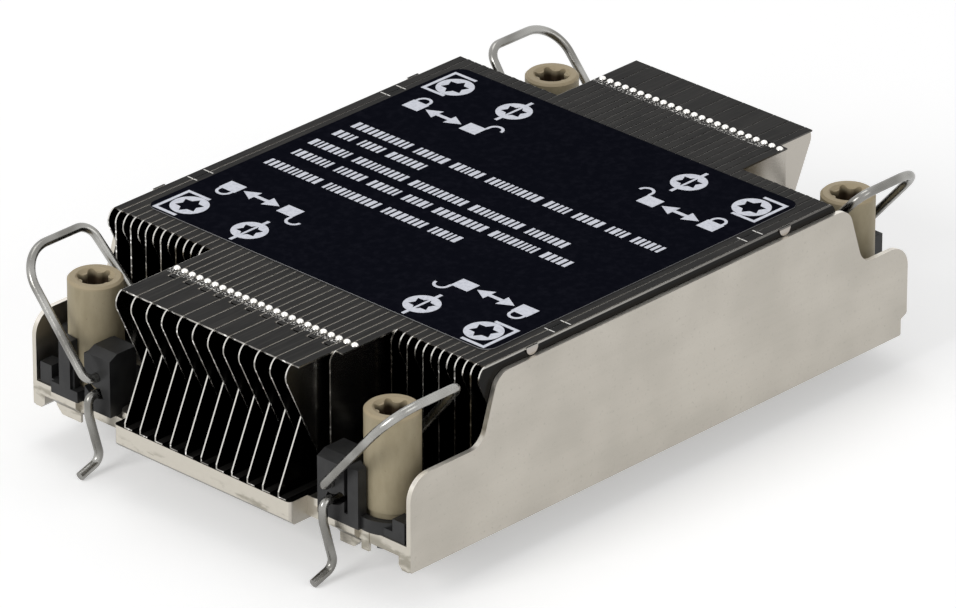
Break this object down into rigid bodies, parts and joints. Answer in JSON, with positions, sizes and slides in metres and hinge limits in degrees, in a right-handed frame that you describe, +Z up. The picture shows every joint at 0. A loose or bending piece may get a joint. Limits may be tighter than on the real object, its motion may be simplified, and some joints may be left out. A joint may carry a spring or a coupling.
{
  "type": "passive server cpu heatsink",
  "caption": "Low folded-fin heatsink in a U-shaped base, with captive corner nuts and swinging wire latches, for a rack server's processor.",
  "frame": {"origin": "centre of the contact face that sits on the processor", "axes": "+X along the fins and the air flow, the front at -X; +Y across the fins, to the left seen from the front; +Z up from the contact face to the fin tops"},
  "size_m": [0.1184, 0.078, 0.0332],
  "materials": {
    "nickel_frame": "satin nickel-plated metal",
    "fin_sheet": "thin bright sheet",
    "nut_plastic": "tan engineering plastic",
    "spring_wire": "plain drawn wire",
    "clip_plastic": "fine-grained black moulding",
    "label_film": "satin film",
    "ring_steel": "blackened"
  },
  "bodies": {
    "heatsink": {"base_frame": "nickel_frame", "clip_front_left": "clip_plastic", "clip_front_right": "clip_plastic", "clip_rear_left": "clip_plastic", "clip_rear_right": "clip_plastic", "fin_long_00": "fin_sheet", "fin_long_02": "fin_sheet", "fin_long_04": "fin_sheet", "fin_long_06": "fin_sheet", "fin_long_08": "fin_sheet", "fin_long_10": "fin_sheet", "fin_long_12": "fin_sheet", "fin_long_14": "fin_sheet", "fin_long_16": "fin_sheet", "fin_long_18": "fin_sheet", "fin_long_20": "fin_sheet", "fin_long_22": "fin_sheet", "fin_zip_01": "fin_sheet", "fin_zip_03": "fin_sheet", "fin_zip_05": "fin_sheet", "fin_zip_07": "fin_sheet", "fin_zip_09": "fin_sheet", "fin_zip_11": "fin_sheet", "fin_zip_13": "fin_sheet", "fin_zip_15": "fin_sheet", "fin_zip_17": "fin_sheet", "fin_zip_19": "fin_sheet", "fin_zip_21": "fin_sheet", "fins_left_0": "fin_sheet", "fins_left_1": "fin_sheet", "fins_left_2": "fin_sheet", "fins_left_3": "fin_sheet", "fins_left_4": "fin_sheet", "fins_left_5": "fin_sheet", "fins_left_6": "fin_sheet", "fins_right_0": "fin_sheet", "fins_right_1": "fin_sheet", "fins_right_2": "fin_sheet", "fins_right_3": "fin_sheet", "fins_right_4": "fin_sheet", "fins_right_5": "fin_sheet", "fins_right_6": "fin_sheet", "label": "label_film"},
    "nut_front_left": {"nut_front_left": "nut_plastic", "nut_ring_front_left": "ring_steel"},
    "wire_front_left": {"bail_front_left": "spring_wire"},
    "nut_front_right": {"nut_front_right": "nut_plastic", "nut_ring_front_right": "ring_steel"},
    "wire_front_right": {"bail_front_right": "spring_wire"},
    "nut_rear_left": {"nut_rear_left": "nut_plastic", "nut_ring_rear_left": "ring_steel"},
    "wire_rear_left": {"bail_rear_left": "spring_wire"},
    "nut_rear_right": {"nut_rear_right": "nut_plastic", "nut_ring_rear_right": "ring_steel"},
    "wire_rear_right": {"bail_rear_right": "spring_wire"}
  },
  "joints": [
    {"name": "spin_nut_front_left", "type": "hinge", "parent": "heatsink", "child": "nut_front_left", "pos_m": [-0.049, 0.03055, 0], "axis": [0, 0, 1], "continuous": true},
    {"name": "swing_wire_front_left", "type": "hinge", "parent": "heatsink", "child": "wire_front_left", "pos_m": [-0.05, 0.0242, 0.0084], "axis": [1, 0, 0], "range_deg": [0, 42]},
    {"name": "spin_nut_front_right", "type": "hinge", "parent": "heatsink", "child": "nut_front_right", "pos_m": [-0.049, -0.03055, 0], "axis": [0, 0, 1], "continuous": true},
    {"name": "swing_wire_front_right", "type": "hinge", "parent": "heatsink", "child": "wire_front_right", "pos_m": [-0.05, -0.0242, 0.0084], "axis": [-1, 0, 0], "range_deg": [0, 42]},
    {"name": "spin_nut_rear_left", "type": "hinge", "parent": "heatsink", "child": "nut_rear_left", "pos_m": [0.049, 0.03055, 0], "axis": [0, 0, 1], "continuous": true},
    {"name": "swing_wire_rear_left", "type": "hinge", "parent": "heatsink", "child": "wire_rear_left", "pos_m": [0.05, 0.0242, 0.0084], "axis": [1, 0, 0], "range_deg": [0, 42]},
    {"name": "spin_nut_rear_right", "type": "hinge", "parent": "heatsink", "child": "nut_rear_right", "pos_m": [0.049, -0.03055, 0], "axis": [0, 0, 1], "continuous": true},
    {"name": "swing_wire_rear_right", "type": "hinge", "parent": "heatsink", "child": "wire_rear_right", "pos_m": [0.05, -0.0242, 0.0084], "axis": [-1, 0, 0], "range_deg": [0, 42]}
  ]
}
